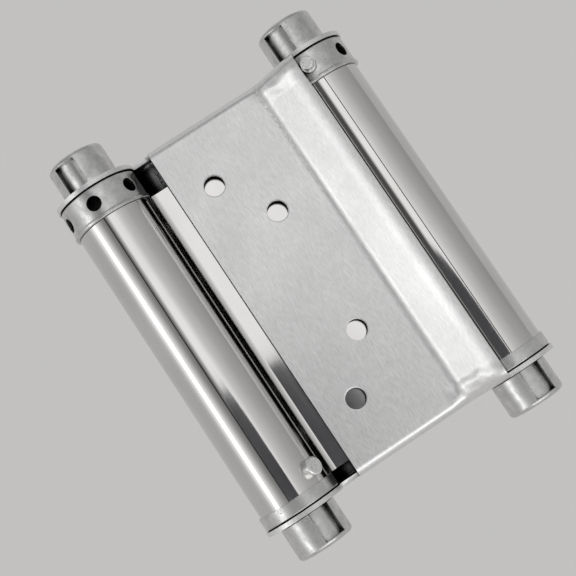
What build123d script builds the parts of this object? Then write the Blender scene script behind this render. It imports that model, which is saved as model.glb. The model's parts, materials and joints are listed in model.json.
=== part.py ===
"""Double action spring hinge with 100 mm leaves.

Two leaves stand on either side of a polished middle web. The web is rolled into a tube at each
side edge. Each leaf turns on the spindle of its own tube, against a torsion spring in that tube.

The frame: +Z runs up the barrels to the adjusting rings, +X from the left barrel to the right
one, and the front leaf faces -Y. The origin is the middle of the hinge.
"""
from build123d import *
from math import asin, atan2, cos, degrees, hypot, radians, sin, tan
import os

# Driving dimensions, in millimetres
leaf_height = 100.0
barrel_pitch = 65.4
sheet = 1.2

# Leaves
leaf_front = 3.7
free_edge_x = -16.2
crease_x = 17.4
crease_radius = 4.0
bend_radius = 2.2
edge_angle = 20.6
edge_gap = 1.15
between_flanges = 0.3
ear_overhang = 0.4
screw_hole_radius = 2.78
outer_screws = (-6.2, 66.0)
inner_screws = (3.9, 37.0)

# Barrels, from the ear at the top down
tube_radius = 10.5
web_bend = 2.6
ring_overhang = 0.5
ring_height = 8.3
ring_lip = 0.35
ring_lip_height = 1.0
plug_flange_height = 3.5
spigot_length = 6.0
plug_length = 8.0
seam_width = 0.2
seam_angles = {"left": -11.0, "right": -2.0}

# Round fits and end play
spindle_radius = 4.0
running = 0.05
tube_fit = 0.08
end_play = 0.05
washer_radius = 8.0
washer_thickness = 0.2

# Adjusting ring holes and the tension pin that stands in one of them
ring_holes = 6
ring_hole_radius = 2.0
ring_hole_drop = 3.9
pin_shank_radius = ring_hole_radius - running
pin_head_radius = 1.7
pin_shoulder = 1.5
pin_reach = 5.0
pin_foot = 5.6
pin_to_edge = 0.06

# Anchor pin through the tube and the plug
anchor_radius = 2.5
anchor_angle = 39.0
anchor_rise = 4.0
anchor_reach = 2.6
anchor_foot = 5.4

# Holes in the web
web_hole_radius = 2.2
web_hole_x = 13.2
web_hole_heights = (-37.4, -13.8, 13.8, 37.4)

# Torsion spring
wire = 2.2
coil_radius = 6.9
coil_pitch = 2.6
tang_length = 4.0
knuckle = wire / 2 + 0.04

# End knobs
knob_radius = 7.9
knob_height = 9.4
knob_gap = 0.4
knob_rounding = 1.0
knob_roof = 2.2
recess_width = 6.2
recess_floor = 6.3
recess_end = 1.2
recess_angles = {
    "left_top": -24.5,
    "right_top": -34.0,
    "left_bottom": 24.0,
    "right_bottom": 14.0,
}

# Small edge roundings
fine_edge = 0.3

# Places that follow from the sizes above
barrel_x = barrel_pitch / 2
ring_radius = tube_radius + ring_overhang
ear_radius = ring_radius + ear_overhang
top = leaf_height / 2
ear_inside = top - sheet
ring_top = ear_inside - washer_thickness - 2 * end_play
ring_bottom = ring_top - ring_height
tube_top = ring_bottom - 2 * end_play
flange_bottom = -ring_top
tube_bottom = flange_bottom + plug_flange_height
tube_bore = tube_radius - sheet
strip_inner = tube_radius + edge_gap
strip_outer = strip_inner + sheet
pin_height = ring_top - ring_hole_drop
anchor_height = tube_bottom + anchor_rise
pin_angle = degrees(asin((pin_shank_radius + pin_to_edge) / strip_inner)) - edge_angle
knob_foot = top + knob_gap
spindle_end = knob_foot + knob_height - knob_roof


def heading(angle):
    """The plane angle of a direction turned from the front (-Y) towards +X."""
    return angle - 90


def cylinder_between(radius, low, high, x=0.0):
    """An upright cylinder from one height to another."""
    return Pos(x, 0, low) * Cylinder(radius, high - low, align=(Align.CENTER, Align.CENTER, Align.MIN))


def radial_cylinder(radius, start, end, angle, height):
    """A lying cylinder from one distance off the axis to another."""
    lying = Rot(0, 90, 0) * Cylinder(radius, end - start, align=(Align.CENTER, Align.CENTER, Align.MIN))
    return Pos(0, 0, height) * Rot(0, 0, heading(angle)) * Pos(start, 0, 0) * lying


def half_turn(solid):
    """The same piece turned half a turn about the middle of the hinge."""
    return Rot(0, 0, 180) * solid


def leaf_path(depth):
    """The leaf's section line at a depth under its front face: pan, slope, then round the tube."""
    reach = hypot(barrel_x - crease_x, leaf_front)
    slope = asin(strip_outer / reach) - atan2(leaf_front, barrel_x - crease_x)
    radius = strip_outer - depth
    touch = degrees(-slope) - 90
    start = (free_edge_x, -leaf_front + depth)
    crease = (crease_x + depth * tan(slope / 2), -leaf_front + depth)
    tangent = (barrel_x + radius * cos(radians(touch)), radius * sin(radians(touch)))
    bend = FilletPolyline(start, crease, tangent, radius=crease_radius + depth)
    wrap = CenterArc((barrel_x, 0), radius, touch, heading(-edge_angle) - touch)
    return [*bend.edges(), *wrap.edges()]


def bent_edges(solid, path, height):
    """The solid's edges that run along the section line at both ends of the leaf."""
    found = []
    for level in (-height, height):
        for line in path:
            middle = line.position_at(0.5) + Vector(0, 0, level)
            found.append(min(solid.edges(), key=lambda e: (e.position_at(0.5) - middle).length))
    return found


def leaf_block(depth, height, radius, closing):
    """The block behind a section line, with its front ends rounded by a radius."""
    path = leaf_path(depth)
    region = make_face([*path, *closing.edges()])
    block = Pos(0, 0, -height) * extrude(region, 2 * height, dir=(0, 0, 1))
    return fillet(bent_edges(block, path, height), radius)


def leaf():
    """One leaf: a sheet pan with flanged ends and an ear at each end of its barrel."""
    outer_line = leaf_path(0)
    flange_back = -between_flanges / 2
    first = outer_line[0].position_at(0)
    last = outer_line[-1].position_at(1)
    outer_close = Polyline(last, (barrel_x, flange_back), (free_edge_x, flange_back), first)
    shell = leaf_block(0, top, bend_radius, outer_close)

    inner_line = leaf_path(sheet)
    near = inner_line[0].position_at(0)
    far = inner_line[-1].position_at(1)
    past = 2 * tube_radius
    inner_close = Polyline(far, (barrel_x + ear_radius, past), (free_edge_x, past), near)
    hollow = leaf_block(sheet, ear_inside, bend_radius - sheet, inner_close)

    ears = cylinder_between(ear_radius, ear_inside, top, barrel_x)
    ears += cylinder_between(ear_radius, -top, -ear_inside, barrel_x)
    region = make_face([*outer_line, *outer_close.edges()])
    ears -= Pos(0, 0, -top) * extrude(region, leaf_height, dir=(0, 0, 1))

    pressed = shell - hollow + ears
    pressed -= cylinder_between(spindle_radius, -top, top, barrel_x)
    drill = Rot(90, 0, 0) * Cylinder(screw_hole_radius, 4 * leaf_front)
    for x, spacing in (outer_screws, inner_screws):
        for side in (-0.5, 0.5):
            pressed -= Pos(x, -leaf_front, side * spacing) * drill
    return pressed


def web():
    """The middle web: one sheet rolled into a tube at each side edge."""
    section = Rectangle(barrel_pitch, sheet)
    for x in (-barrel_x, barrel_x):
        section += Pos(x, 0) * Circle(tube_radius)
    corners = [v for v in section.vertices() if abs(v.X) < barrel_x and abs(abs(v.Y) - sheet / 2) < 0.01]
    section = fillet(corners, web_bend)
    for x in (-barrel_x, barrel_x):
        section -= Pos(x, 0) * Circle(tube_bore)
    rolled = Pos(0, 0, tube_bottom) * extrude(section, tube_top - tube_bottom, dir=(0, 0, 1))
    slot = Box(2 * sheet, seam_width, leaf_height)
    for x, angle in ((-barrel_x, seam_angles["left"]), (barrel_x, seam_angles["right"])):
        rolled -= Pos(x, 0) * Rot(0, 0, heading(angle)) * Pos(tube_radius - sheet / 2, 0) * slot
    bore = radial_cylinder(anchor_radius, tube_bore - 1, tube_radius + 1, anchor_angle, anchor_height)
    rolled -= Pos(-barrel_x, 0) * bore
    rolled -= Pos(barrel_x, 0) * half_turn(bore)
    drill = Rot(90, 0, 0) * Cylinder(web_hole_radius, 3 * sheet)
    for x in (-web_hole_x, web_hole_x):
        for height in web_hole_heights:
            rolled -= Pos(x, 0, height) * drill
    return rolled


def adjusting_ring():
    """The left barrel's adjusting ring, drilled all round, with a spigot that carries the spring."""
    ring = cylinder_between(ring_radius, ring_bottom, ring_top)
    lip = cylinder_between(ring_radius + ring_lip, ring_bottom, ring_bottom + ring_lip_height)
    lip = fillet(lip.edges(), fine_edge)
    ring = fillet(ring.edges().group_by(Axis.Z)[-1], fine_edge)
    ring += lip
    ring += cylinder_between(tube_bore - tube_fit, ring_bottom - spigot_length, ring_bottom)
    ring -= cylinder_between(spindle_radius + running, ring_bottom - 2 * spigot_length, top)
    for k in range(ring_holes):
        angle = 180 + pin_angle + k * 360 / ring_holes
        ring -= radial_cylinder(ring_hole_radius, pin_foot, 2 * ring_radius, angle, pin_height)
    spigot_face = ring_bottom - spigot_length
    socket = cylinder_between(wire / 2 + running, spigot_face, spigot_face + tang_length + 1)
    return ring - Pos(coil_radius, 0) * socket


def anchor_plug():
    """The left barrel's foot: a flange under the tube and a plug in it that holds the spring."""
    plug = cylinder_between(ring_radius, flange_bottom, tube_bottom)
    plug = fillet(plug.edges().group_by(Axis.Z)[0], fine_edge)
    plug += cylinder_between(tube_bore, tube_bottom, tube_bottom + plug_length)
    plug -= cylinder_between(spindle_radius + running, flange_bottom - 1, tube_bottom + plug_length + 1)
    plug -= radial_cylinder(anchor_radius, anchor_foot, tube_radius, anchor_angle, anchor_height)
    plug_face = tube_bottom + plug_length
    socket = cylinder_between(wire / 2 + running, plug_face - tang_length - 1, plug_face)
    return plug - Pos(-coil_radius, 0) * socket


def outer_rim(pin):
    """The round edge of a lying pin that is farthest from the barrel's axis."""
    rims = pin.edges().filter_by(GeomType.CIRCLE)
    return max(rims, key=lambda e: hypot(e.arc_center.X, e.arc_center.Y))


def tension_pin():
    """The left barrel's tension pin, which bears on the edge of its leaf."""
    angle = 180 + pin_angle
    shoulder = ring_radius + pin_shoulder
    tip = ring_radius + pin_reach
    shank = radial_cylinder(pin_shank_radius, pin_foot + running, shoulder, angle, pin_height)
    head = radial_cylinder(pin_head_radius, shoulder, tip, angle, pin_height)
    return fillet(outer_rim(shank), fine_edge / 2) + fillet(outer_rim(head), fine_edge)


def anchor_pin():
    """The left barrel's anchor pin."""
    tip = tube_radius + anchor_reach
    pin = radial_cylinder(anchor_radius, anchor_foot, tip, anchor_angle, anchor_height)
    return fillet(outer_rim(pin), 2 * fine_edge)


def torsion_spring():
    """The left barrel's spring: a coil with a straight tang at each end."""
    low = tube_bottom + plug_length + wire / 2 + 2 * running
    high = ring_bottom - spigot_length - wire / 2 - 2 * running
    turns = int((high - low) / coil_pitch) + 0.5
    height = high - low
    helix = Helix(pitch=height / turns, height=height, radius=coil_radius)
    start = helix.position_at(0)
    end = helix.position_at(1)
    section = Plane(origin=start, z_dir=helix.tangent_at(0)) * Circle(wire / 2)
    coil = sweep(section, path=helix, is_frenet=True)
    reach = wire / 2 + 2 * running + tang_length
    coil += Pos(*start) * Sphere(knuckle)
    coil += Pos(*end) * Sphere(knuckle)
    coil += Pos(start.X, start.Y) * cylinder_between(wire / 2, start.Z - reach, start.Z)
    coil += Pos(end.X, end.Y) * cylinder_between(wire / 2, end.Z, end.Z + reach)
    return Pos(0, 0, low) * Rot(0, 0, 180) * coil


def spindle():
    """The spindle that the leaf and both knobs sit on."""
    return cylinder_between(spindle_radius, -spindle_end, spindle_end)


def knob(recess_angle):
    """A top end knob with a rounded rim and a recess in its side."""
    body = cylinder_between(knob_radius, knob_foot, knob_foot + knob_height)
    body = fillet(body.edges().group_by(Axis.Z)[-1], knob_rounding)
    recess = Box(knob_radius, recess_width, knob_height - recess_end, align=(Align.MIN, Align.CENTER, Align.MIN))
    recess -= cylinder_between(recess_floor, -1, knob_height)
    body -= Pos(0, 0, knob_foot) * Rot(0, 0, heading(recess_angle)) * recess
    return body - cylinder_between(spindle_radius, top - 1, spindle_end)


def thrust_washer(low):
    """A thin washer between an ear and the part that turns against it."""
    disc = cylinder_between(washer_radius, low, low + washer_thickness)
    return disc - cylinder_between(spindle_radius, low - 1, low + washer_thickness + 1)


def write(name, solid):
    """Save one piece as its own file."""
    solid.label = name
    export_step(solid, f"parts/{name}.step")


def write_barrel(side, place):
    """Save the pieces of one barrel. They are drawn on the left barrel's own axis."""
    write(f"{side}_spindle", place * spindle())
    write(f"{side}_adjusting_ring", place * adjusting_ring())
    write(f"{side}_tension_pin", place * tension_pin())
    write(f"{side}_torsion_spring", place * torsion_spring())
    write(f"{side}_anchor_plug", place * anchor_plug())
    write(f"{side}_anchor_pin", place * anchor_pin())
    write(f"{side}_top_washer", place * thrust_washer(ear_inside - washer_thickness))
    write(f"{side}_bottom_washer", place * thrust_washer(-ear_inside))


os.makedirs("parts", exist_ok=True)
front_leaf = leaf()
write("front_leaf", front_leaf)
write("back_leaf", half_turn(front_leaf))
write("middle_web", web())
write_barrel("left", Pos(-barrel_x, 0))
write_barrel("right", Pos(barrel_x, 0) * Rot(0, 0, 180))
for side, x in (("left", -barrel_x), ("right", barrel_x)):
    upper = knob(recess_angles[f"{side}_top"])
    lower = Rot(180, 0, 0) * knob(180 - recess_angles[f"{side}_bottom"])
    write(f"{side}_top_knob", Pos(x, 0) * upper)
    write(f"{side}_bottom_knob", Pos(x, 0) * lower)
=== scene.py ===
"""The looks of a double action spring hinge.

Two brushed leaves, a polished web with its barrels, satin castings and bright pins, on pale paper.
"""
import json
from math import cos, pi, radians, sin

import bmesh
import bpy
from mathutils import Matrix, Vector


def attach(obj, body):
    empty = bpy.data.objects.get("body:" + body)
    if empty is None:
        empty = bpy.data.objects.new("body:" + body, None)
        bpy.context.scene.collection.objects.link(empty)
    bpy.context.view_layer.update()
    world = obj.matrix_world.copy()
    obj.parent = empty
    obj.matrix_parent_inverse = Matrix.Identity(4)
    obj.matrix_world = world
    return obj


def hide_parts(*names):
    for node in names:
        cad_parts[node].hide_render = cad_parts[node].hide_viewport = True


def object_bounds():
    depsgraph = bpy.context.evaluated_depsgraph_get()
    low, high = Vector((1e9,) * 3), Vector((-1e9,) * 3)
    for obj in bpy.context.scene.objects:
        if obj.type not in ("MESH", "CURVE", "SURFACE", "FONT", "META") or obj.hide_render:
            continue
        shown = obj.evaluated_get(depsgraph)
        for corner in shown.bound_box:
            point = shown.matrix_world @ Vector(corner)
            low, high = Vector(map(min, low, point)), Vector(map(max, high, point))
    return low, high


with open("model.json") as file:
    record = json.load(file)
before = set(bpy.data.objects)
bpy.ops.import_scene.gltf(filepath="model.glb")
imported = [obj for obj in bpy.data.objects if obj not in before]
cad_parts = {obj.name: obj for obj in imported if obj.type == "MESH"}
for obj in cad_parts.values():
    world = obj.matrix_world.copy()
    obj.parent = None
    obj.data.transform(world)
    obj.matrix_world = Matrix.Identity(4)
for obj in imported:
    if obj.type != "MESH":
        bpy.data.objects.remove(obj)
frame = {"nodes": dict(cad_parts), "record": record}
cad_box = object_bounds()

MM = 0.001


def rgb(red, green, blue):
    """A colour with full alpha."""
    return (red, green, blue, 1.0)


def grey(level):
    """A plain grey with full alpha."""
    return rgb(level, level, level)


# The camera, in metres and degrees, and the picture's side in pixels
CAMERA_PLACE = Vector((-0.0329, -0.3407, -0.0312))
CAMERA_AIM = Vector((-0.0050, -0.0037, 0.0002))
CAMERA_ROLL = 33.7
FOCAL_PIXELS = 1320.0
PICTURE_SIDE = 576
SENSOR_WIDTH = 36.0

# The paper that sweeps from the floor up into a backdrop
FLOOR_BELOW = 0.45
BACKDROP_BEHIND = 0.60
STAGE_HALF_WIDTH = 8.0
STAGE_FRONT = 8.0
STAGE_CURVE = 0.35
STAGE_CURVE_STEPS = 16
PAPER = rgb(0.75, 0.745, 0.74)
STAGE_SHADE = rgb(0.585, 0.578, 0.574)
SHADOW_SHARE = 0.2

# The dark plate that the metal mirrors, with its offset from the camera
FRONT_WIDTH = 0.164
FRONT_HEIGHT = 0.090
FRONT_CORNER = 0.036
FRONT_CORNER_STEPS = 6
FRONT_OFFSET = Vector((-0.018, -0.020, -0.008))
FRONT_SHADE = rgb(0.20, 0.205, 0.225)

# How light the room is at each heading round the hinge, 0 in front of it and positive to its right
ROOM = (
    (-180, 0.50), (-95, 0.50), (-80, 0.62), (-72, 1.05), (-54, 1.15), (-44, 0.65),
    (-34, 0.35), (-24, 0.09), (-15, 0.09), (-8, 1.10), (7, 1.08), (22, 0.74),
    (50, 0.50), (85, 0.38), (120, 0.42), (180, 0.50),
)
# Above and below, the room turns to one shade: the share of straight up or down where that
# starts and ends, and how light the shade is
OVERHEAD = (0.24, 0.55, 0.30)
UNDERFOOT = (0.10, 0.20, 0.35)

# A leaf, in metres from its own middle, across towards its barrel
CREASE = 0.0174
LEAF_HALF_HEIGHT = 0.050
SCREW_HOLE_RADIUS = 0.00278
SCREW_HOLES = ((-0.0062, 0.0330), (0.0039, 0.0185))

# What the press leaves on a leaf
DENT_DEPTH = 0.5 * MM
RIM_DROP = 0.06 * MM
BURR_HEIGHT = 0.14 * MM

# Each spring is parted just under its ring: the coil's top and the tang's foot
COIL_TOP = 0.03416
TANG_FOOT = 0.03418
WELD_DISTANCE = 0.001 * MM
SHARP_ANGLE = 35


class Wire:
    """One value in a material: a socket that takes part in ordinary arithmetic."""

    def __init__(self, recipe, socket):
        self.recipe = recipe
        self.socket = socket

    def _math(self, operation, first, second):
        return self.recipe.node("ShaderNodeMath", {"operation": operation}, {0: first, 1: second})

    def __add__(self, other):
        return self._math("ADD", self, other)

    def __radd__(self, other):
        return self._math("ADD", other, self)

    def __sub__(self, other):
        return self._math("SUBTRACT", self, other)

    def __rsub__(self, other):
        return self._math("SUBTRACT", other, self)

    def __mul__(self, other):
        return self._math("MULTIPLY", self, other)

    def __rmul__(self, other):
        return self._math("MULTIPLY", other, self)

    def __pow__(self, other):
        return self._math("POWER", self, other)

    def __rpow__(self, other):
        return self._math("POWER", other, self)


class Recipe:
    """A node tree and the nodes that are added to it."""

    def __init__(self, tree):
        self.nodes = tree.nodes
        self.links = tree.links

    def node(self, kind, settings=None, inputs=None, output=0):
        """Adds a node: its settings first, then the values or links of its sockets."""
        made = self.nodes.new(kind)
        for key, value in (settings or {}).items():
            if key == "stops":
                self._set_stops(made.color_ramp, value)
            else:
                setattr(made, key, value)
        for key, value in (inputs or {}).items():
            if isinstance(value, Wire):
                self.links.new(value.socket, made.inputs[key])
            else:
                made.inputs[key].default_value = value
        return Wire(self, made.outputs[output])

    @staticmethod
    def _set_stops(ramp, stops):
        while len(ramp.elements) < len(stops):
            ramp.elements.new(0.5)
        for element, (place, level) in zip(ramp.elements, stops):
            element.position = place
            element.color = grey(level)

    def ramp(self, value, stops):
        """The value led through stops of (place, level)."""
        return self.node("ShaderNodeValToRGB", {"stops": stops}, {"Fac": value})

    def spread(self, value, low, high, out_low=0.0, out_high=1.0):
        """The value's stretch from low to high, mapped to another stretch and held there."""
        values = {"Value": value, "From Min": low, "From Max": high}
        values.update({"To Min": out_low, "To Max": out_high})
        return self.node("ShaderNodeMapRange", {"clamp": True}, values)

    def ease(self, value, low, high):
        """From 0 to 1 over the stretch from low to high, with a soft start and end."""
        settings = {"interpolation_type": "SMOOTHSTEP"}
        values = {"Value": value, "From Min": low, "From Max": high}
        return self.node("ShaderNodeMapRange", settings, values)

    def size_of(self, value):
        """The value without its sign."""
        return self.node("ShaderNodeMath", {"operation": "ABSOLUTE"}, {0: value})

    def sign_of(self, value):
        """1 where the value is positive and -1 where it is negative."""
        return self.node("ShaderNodeMath", {"operation": "SIGN"}, {0: value})

    def along(self, value, axis):
        """How far a direction leans along an axis."""
        settings = {"operation": "DOT_PRODUCT"}
        return self.node("ShaderNodeVectorMath", settings, {0: value, 1: axis}, "Value")

    def mix(self, share, first, second):
        """One colour turning to another by a share."""
        settings = {"data_type": "RGBA"}
        return self.node("ShaderNodeMix", settings, {0: share, 6: first, 7: second}, output=2)


class Finish(Recipe):
    """A material and the nodes that make it."""

    def __init__(self, name, **uniform):
        self.material = bpy.data.materials.new(name)
        self.material.use_nodes = True
        super().__init__(self.material.node_tree)
        self.surface = self.nodes["Principled BSDF"]
        for socket, value in uniform.items():
            self.surface.inputs[socket.replace("_", " ")].default_value = value

    def place(self, drawn=1.0):
        """The place on the piece in metres; drawn under 1 shortens it along the barrels."""
        where = self.node("ShaderNodeTexCoord", output="Object")
        return self.node("ShaderNodeMapping", None, {"Vector": where, "Scale": (1.0, 1.0, drawn)})

    def noise(self, size, detail, roughness=0.5, drawn=1.0):
        """Noise from 0 to 1 whose features are about that size in metres, drawn as in place."""
        values = {"Vector": self.place(drawn), "Scale": 1.0 / size}
        values.update({"Detail": detail, "Roughness": roughness})
        return self.node("ShaderNodeTexNoise", None, values)

    def soft_edges(self, radius):
        """The surface's direction, with its sharp edges rounded over a radius in metres."""
        return self.node("ShaderNodeBevel", {"samples": 6}, {"Radius": radius})

    def paint_shade_in_hollows(self, colour, reach, start, end, level):
        """The colour with painted shade: dark where the surface is shut in within a reach in
        metres.
        """
        settings = {"samples": 8, "only_local": False}
        openness = self.node("ShaderNodeAmbientOcclusion", settings, {"Distance": reach}, "AO")
        return self.mix(self.ease(1.0 - openness, start, end), colour, grey(level))

    def bump(self, height, distance, strength=1.0, under=None):
        """A relief of that height in metres over the surface, or over another relief."""
        values = {"Height": height, "Distance": distance, "Strength": strength}
        if under is not None:
            values["Normal"] = under
        return self.node("ShaderNodeBump", None, values)

    def feed(self, **sockets):
        """Leads values to the surface's own sockets."""
        for socket, value in sockets.items():
            self.links.new(value.socket, self.surface.inputs[socket.replace("_", " ")])
        return self.material


def hole_rims(finish, across, height):
    """1 on the flat of a leaf, easing to 0 at the rim of each screw hole."""
    up = finish.size_of(height)
    flat = 1.0
    for hole_across, hole_up in SCREW_HOLES:
        aside, above = across - hole_across, up - hole_up
        away = (aside * aside + above * above) ** 0.5
        rim_start, rim_end = SCREW_HOLE_RADIUS - 0.05 * MM, SCREW_HOLE_RADIUS + 0.35 * MM
        flat = flat * finish.ease(away, rim_start, rim_end)
    return flat


def crease_dents(finish, across, height):
    """1 in the middle of the uneven dent that each end of the crease has."""
    over_crease = finish.ease(across, CREASE - 5 * MM, CREASE)
    over_crease = over_crease * (1.0 - finish.ease(across, 24 * MM, 36 * MM))
    uneven = finish.size_of(height) + finish.noise(6 * MM, 1.0) * (4 * MM)
    dent = finish.ease(uneven, LEAF_HALF_HEIGHT - 5.5 * MM, LEAF_HALF_HEIGHT - 1.5 * MM)
    bend = finish.ease(uneven, LEAF_HALF_HEIGHT - 2 * MM, LEAF_HALF_HEIGHT + 2 * MM)
    lower_to_upper = finish.spread(height, -1 * MM, 1 * MM, 0.9, 0.75)
    return dent * (1.0 - bend) * over_crease * lower_to_upper


def crease_burr(finish, across, height):
    """1 on the torn line that runs along the crease's upper half."""
    line = finish.size_of(across - (CREASE - 0.6 * MM))
    fold = 1.0 - finish.ease(line, 0.05 * MM, 0.45 * MM)
    torn = finish.spread(finish.noise(0.5 * MM, 2.0, 0.6), 0.42, 0.60)
    return fold * torn * finish.ease(height, 10 * MM, 38 * MM)


def leaf_relief(finish):
    """What the press leaves on a leaf: eased hole rims, and a crease with a burr and two dents."""
    where = finish.place()
    along_x, along_y, height = (
        finish.node("ShaderNodeSeparateXYZ", None, {"Vector": where}, axis) for axis in "XYZ"
    )
    across = 0.0 - along_x * finish.sign_of(along_y)
    relief = finish.bump(crease_dents(finish, across, height), DENT_DEPTH)
    relief = finish.bump(hole_rims(finish, across, height), RIM_DROP, under=relief)
    return finish.bump(crease_burr(finish, across, height), BURR_HEIGHT, under=relief)


def brushed_sheet():
    """Stainless sheet brushed along the barrels, with cloudy patches and longer scratches."""
    finish = Finish("brushed_sheet", Metallic=1.0, Anisotropic=0.4)
    pressed = leaf_relief(finish)
    grain = finish.noise(0.27 * MM, 2.0, 0.6, drawn=0.16)
    streak = finish.noise(0.9 * MM, 2.0, drawn=0.05)
    cloud = finish.noise(13 * MM, 4.0, 0.6)
    scratch = finish.spread(finish.noise(0.5 * MM, 1.0, drawn=0.03), 0.71, 0.78)
    patch = finish.spread(streak * 0.5 + cloud * 0.5, 0.35, 0.65)
    bright = finish.spread(grain, 0.25, 0.75)
    colour = finish.mix(bright, rgb(0.74, 0.74, 0.735), rgb(1.0, 1.0, 0.995))
    colour = finish.mix(patch * 0.30, colour, rgb(0.76, 0.76, 0.755))
    colour = finish.mix(scratch * 0.4, colour, rgb(0.92, 0.92, 0.915))
    # Painted shade: the colour turns near black where the sheet is shut in, as between the leaves
    # and the web
    colour = finish.paint_shade_in_hollows(colour, 11 * MM, 0.35, 0.75, 0.02)
    rough = finish.spread(cloud, 0.3, 0.7, 0.33, 0.38) + grain * 0.05
    relief = finish.bump(grain + streak * 0.3, 0.012 * MM, 0.6, pressed)
    return finish.feed(Base_Color=colour, Roughness=rough, Normal=relief)


def polished_sheet():
    """Mirror polished stainless sheet with faint draw marks along the barrels."""
    finish = Finish("polished_sheet", Metallic=1.0)
    marks = finish.noise(0.5 * MM, 2.0, drawn=0.01)
    cloud = finish.noise(9 * MM, 3.0, 0.6, drawn=0.4)
    bright = finish.spread(cloud, 0.3, 0.7)
    colour = finish.mix(bright, rgb(0.66, 0.645, 0.63), rgb(0.72, 0.71, 0.70))
    rough = finish.spread(cloud, 0.3, 0.75, 0.06, 0.11) + finish.spread(marks, 0.6, 0.8) * 0.05
    relief = finish.bump(marks, 0.002 * MM, 0.4)
    return finish.feed(Base_Color=colour, Roughness=rough, Normal=relief)


def plated_casting():
    """A nickel plated casting: satin, mottled, with fine pits and rubbed edges."""
    finish = Finish("cast_zinc", Metallic=1.0)
    mottle = finish.noise(2.2 * MM, 5.0, 0.62)
    pits = finish.spread(finish.noise(0.5 * MM, 2.0), 0.66, 0.76)
    fine = finish.noise(0.22 * MM, 3.0, 0.6)
    bright = finish.spread(mottle, 0.32, 0.68)
    colour = finish.mix(bright, rgb(0.56, 0.56, 0.555), rgb(0.74, 0.74, 0.73))
    colour = finish.mix(pits * 0.6, colour, grey(0.28))
    # Painted shade: the colour turns near black in the ring holes and other hollows of the casting
    colour = finish.paint_shade_in_hollows(colour, 8 * MM, 0.55, 0.80, 0.012)
    rough = finish.spread(mottle, 0.3, 0.7, 0.38, 0.25) + pits * 0.2
    height = fine * 0.35 + mottle - pits * 0.8
    relief = finish.bump(height, 0.03 * MM, 0.6, finish.soft_edges(0.25 * MM))
    return finish.feed(Base_Color=colour, Roughness=rough, Normal=relief)


def cut_steel():
    """Bright cut steel, as on pins and spindles, with a speckled skin."""
    finish = Finish("steel_rod", Metallic=1.0)
    speckle = finish.noise(0.45 * MM, 3.0, 0.6)
    spots = finish.spread(speckle, 0.60, 0.70)
    colour = finish.mix(spots, rgb(0.88, 0.88, 0.87), grey(0.36))
    # Painted shade: the colour turns near black where the pins and spindles are shut in
    colour = finish.paint_shade_in_hollows(colour, 6 * MM, 0.55, 0.85, 0.012)
    rough = finish.spread(speckle, 0.3, 0.7, 0.26, 0.40)
    relief = finish.bump(speckle, 0.02 * MM, 0.5, finish.soft_edges(0.2 * MM))
    return finish.feed(Base_Color=colour, Roughness=rough, Normal=relief)


def spring_wire():
    """Dark oiled spring steel."""
    finish = Finish("spring_wire", Metallic=1.0)
    cloud = finish.noise(1.5 * MM, 3.0, 0.6)
    colour = finish.mix(cloud, rgb(0.14, 0.14, 0.15), rgb(0.30, 0.30, 0.31))
    rough = finish.spread(cloud, 0.3, 0.7, 0.3, 0.5)
    relief = finish.bump(cloud, 0.01 * MM, 0.5)
    return finish.feed(Base_Color=colour, Roughness=rough, Normal=relief)


def dress_nodes():
    """Gives every piece of the frame the finish of its material slot."""
    finishes = {
        "brushed_sheet": brushed_sheet(),
        "polished_sheet": polished_sheet(),
        "cast_zinc": plated_casting(),
        "steel_rod": cut_steel(),
        "spring_wire": spring_wire(),
    }
    for entry in frame["record"]["subparts"]:
        piece = frame["nodes"][entry["node"]]
        piece.data.materials.clear()
        piece.data.materials.append(finishes[entry["material_slot"]])


def add_object(name, data, matrix=Matrix.Identity(4)):
    """A new object in the scene, at the place and turn of a matrix."""
    made = bpy.data.objects.new(name, data)
    made.matrix_world = matrix
    bpy.context.scene.collection.objects.link(made)
    return made


def spring_part(node, name, level, keep_above, body):
    """One side of a level cut through a spring, closed at the cut, on the body it turns with."""
    shape = bmesh.new()
    shape.from_mesh(node.data)
    shape.transform(node.matrix_world)
    bmesh.ops.remove_doubles(shape, verts=shape.verts, dist=WELD_DISTANCE)
    cut = bmesh.ops.bisect_plane(
        shape,
        geom=[*shape.verts, *shape.edges, *shape.faces],
        plane_co=(0, 0, level),
        plane_no=(0, 0, 1),
        clear_inner=keep_above,
        clear_outer=not keep_above,
    )
    rim = [part for part in cut["geom_cut"] if isinstance(part, bmesh.types.BMEdge)]
    bmesh.ops.holes_fill(shape, edges=rim)
    for face in shape.faces:
        face.smooth = True
    mesh = bpy.data.meshes.new(name)
    shape.to_mesh(mesh)
    shape.free()
    mesh.set_sharp_from_angle(angle=radians(SHARP_ANGLE))
    for material in node.data.materials:
        mesh.materials.append(material)
    piece = add_object(name, mesh)
    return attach(piece, body)


def part_springs():
    """Each spring's upper tang turns with its adjusting ring, and its coil with the web."""
    for side in ("left", "right"):
        node = frame["nodes"][f"{side}_torsion_spring"]
        coil = spring_part(node, f"{side}_spring_coil", COIL_TOP, False, "web")
        spring_part(node, f"{side}_spring_tang", TANG_FOOT, True, f"{side}_ring")
        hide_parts(node.name)


def stage_material():
    """Pale paper: it looks the same from everywhere, and keeps a share of the shadows."""
    finish = Finish("stage_paper", Base_Color=PAPER, Roughness=0.9)
    seen, mirrored, passed = (
        finish.node("ShaderNodeLightPath", output=f"Is {ray} Ray")
        for ray in ("Camera", "Glossy", "Transmission")
    )
    glow = finish.node("ShaderNodeEmission", None, {"Color": STAGE_SHADE, "Strength": 1.0})
    share = (seen + mirrored + passed) * (1.0 - SHADOW_SHARE)
    paper = Wire(finish, finish.surface.outputs[0])
    blend = finish.node("ShaderNodeMixShader", None, {0: share, 1: paper, 2: glow})
    finish.links.new(blend.socket, finish.nodes["Material Output"].inputs["Surface"])
    return finish.material


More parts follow.
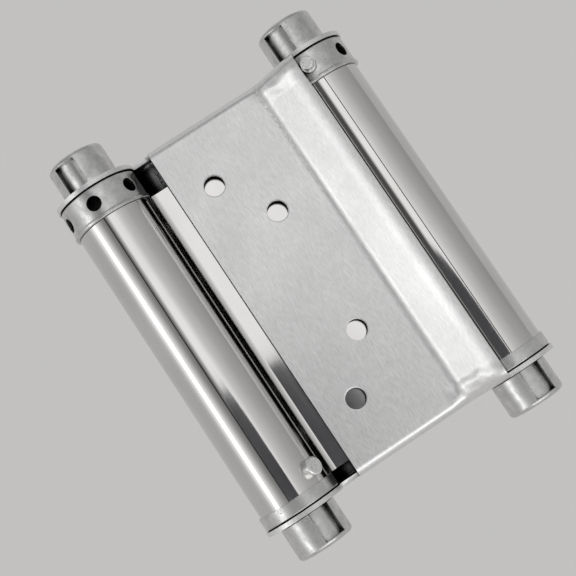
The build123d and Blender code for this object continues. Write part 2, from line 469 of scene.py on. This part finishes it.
def make_stage():
    """A floor that sweeps up into a backdrop behind the hinge."""
    low = cad_box[0][2] - FLOOR_BELOW
    flat_end = BACKDROP_BEHIND - STAGE_CURVE
    profile = [(-STAGE_FRONT, low), (flat_end, low)]
    for k in range(1, STAGE_CURVE_STEPS + 1):
        turn = pi / 2 * k / STAGE_CURVE_STEPS
        profile.append((flat_end + STAGE_CURVE * sin(turn), low + STAGE_CURVE * (1 - cos(turn))))
    profile.append((BACKDROP_BEHIND, low + STAGE_FRONT))
    points = [(x, y, z) for y, z in profile for x in (-STAGE_HALF_WIDTH, STAGE_HALF_WIDTH)]
    faces = [(2 * k, 2 * k + 1, 2 * k + 3, 2 * k + 2) for k in range(len(profile) - 1)]
    mesh = bpy.data.meshes.new("stage")
    mesh.from_pydata(points, [], faces)
    mesh.shade_smooth()
    mesh.materials.append(stage_material())
    add_object("stage", mesh)


def facing(place, aim):
    """The matrix of a lamp or camera at one place that looks at another."""
    look = (aim - place).to_track_quat("-Z", "Y").to_matrix().to_4x4()
    return Matrix.Translation(place) @ look


def around(azimuth, distance, height):
    """A place round the hinge: 0 is in front of it, positive to its right."""
    angle = radians(azimuth)
    return Vector((distance * sin(angle), -distance * cos(angle), height))


def lamp(name, place, width, height, watts):
    """A soft box that faces the hinge and isn't seen itself."""
    data = bpy.data.lights.new(name, "AREA")
    data.shape = "RECTANGLE"
    data.size = width
    data.size_y = height
    data.energy = watts
    box = add_object(name, data, facing(place, Vector()))
    box.visible_camera = False


def make_lights():
    """A narrow soft box on the left, a wide one overhead and a pale card low in front."""
    lamp("left_box", around(-62, 0.9, -0.04), width=0.16, height=0.52, watts=0.50)
    lamp("top_box", around(0, 0.25, 1.1), width=0.9, height=0.7, watts=0.6)
    lamp("low_card", around(5, 0.42, -0.33), width=0.6, height=0.28, watts=0.55)


def make_camera_front():
    """The dark front of the camera, seen only where the metal mirrors it."""
    aside, above = FRONT_WIDTH / 2 - FRONT_CORNER, FRONT_HEIGHT / 2 - FRONT_CORNER
    points = []
    for quarter, (x, y) in enumerate(((1, 1), (-1, 1), (-1, -1), (1, -1))):
        for k in range(FRONT_CORNER_STEPS + 1):
            turn = pi / 2 * (quarter + k / FRONT_CORNER_STEPS)
            corner_x, corner_y = FRONT_CORNER * cos(turn), FRONT_CORNER * sin(turn)
            points.append((x * aside + corner_x, y * above + corner_y, 0.0))
    mesh = bpy.data.meshes.new("camera_front")
    mesh.from_pydata(points, [], [tuple(range(len(points)))])
    dark = Finish("camera_front", Base_Color=FRONT_SHADE, Roughness=0.6)
    mesh.materials.append(dark.material)
    upright = Matrix.Rotation(pi / 2, 4, "X")
    place = Matrix.Translation(CAMERA_PLACE + FRONT_OFFSET)
    front = add_object("camera_front", mesh, place @ upright)
    front.visible_camera = False
    front.visible_shadow = False
    front.visible_diffuse = False


def make_world():
    """A soft room whose shade changes with the heading, and with the height above and below."""
    world = bpy.data.worlds.new("room")
    bpy.context.scene.world = world
    world.use_nodes = True
    room = Recipe(world.node_tree)
    away = room.node("ShaderNodeTexCoord", output="Generated")
    to_right, to_front = room.along(away, (1, 0, 0)), room.along(away, (0, -1, 0))
    heading = room.node("ShaderNodeMath", {"operation": "ARCTAN2"}, {0: to_right, 1: to_front})
    stops = [(0.5 + degrees / 360, level) for degrees, level in ROOM]
    shade = room.ramp(room.spread(heading, -pi, pi), stops)
    upward = room.along(away, (0, 0, 1))
    for climb, (start, end, level) in ((upward, OVERHEAD), (0.0 - upward, UNDERFOOT)):
        shade = room.mix(room.spread(climb, start, end), shade, grey(level))
    seen = room.node("ShaderNodeLightPath", output="Is Camera Ray")
    shade = room.mix(seen, shade, STAGE_SHADE)
    room.links.new(shade.socket, room.nodes["Background"].inputs["Color"])


def make_camera():
    """The camera, turned about its own axis so that the hinge leans as in the picture."""
    data = bpy.data.cameras.new("camera")
    data.sensor_width = SENSOR_WIDTH
    data.lens = SENSOR_WIDTH * FOCAL_PIXELS / PICTURE_SIDE
    roll = Matrix.Rotation(radians(-CAMERA_ROLL), 4, "Z")
    camera = add_object("camera", data, facing(CAMERA_PLACE, CAMERA_AIM) @ roll)
    bpy.context.scene.camera = camera


dress_nodes()
part_springs()
make_stage()
make_lights()
make_camera_front()
make_world()
make_camera()
bpy.context.scene.view_settings.view_transform = "Standard"
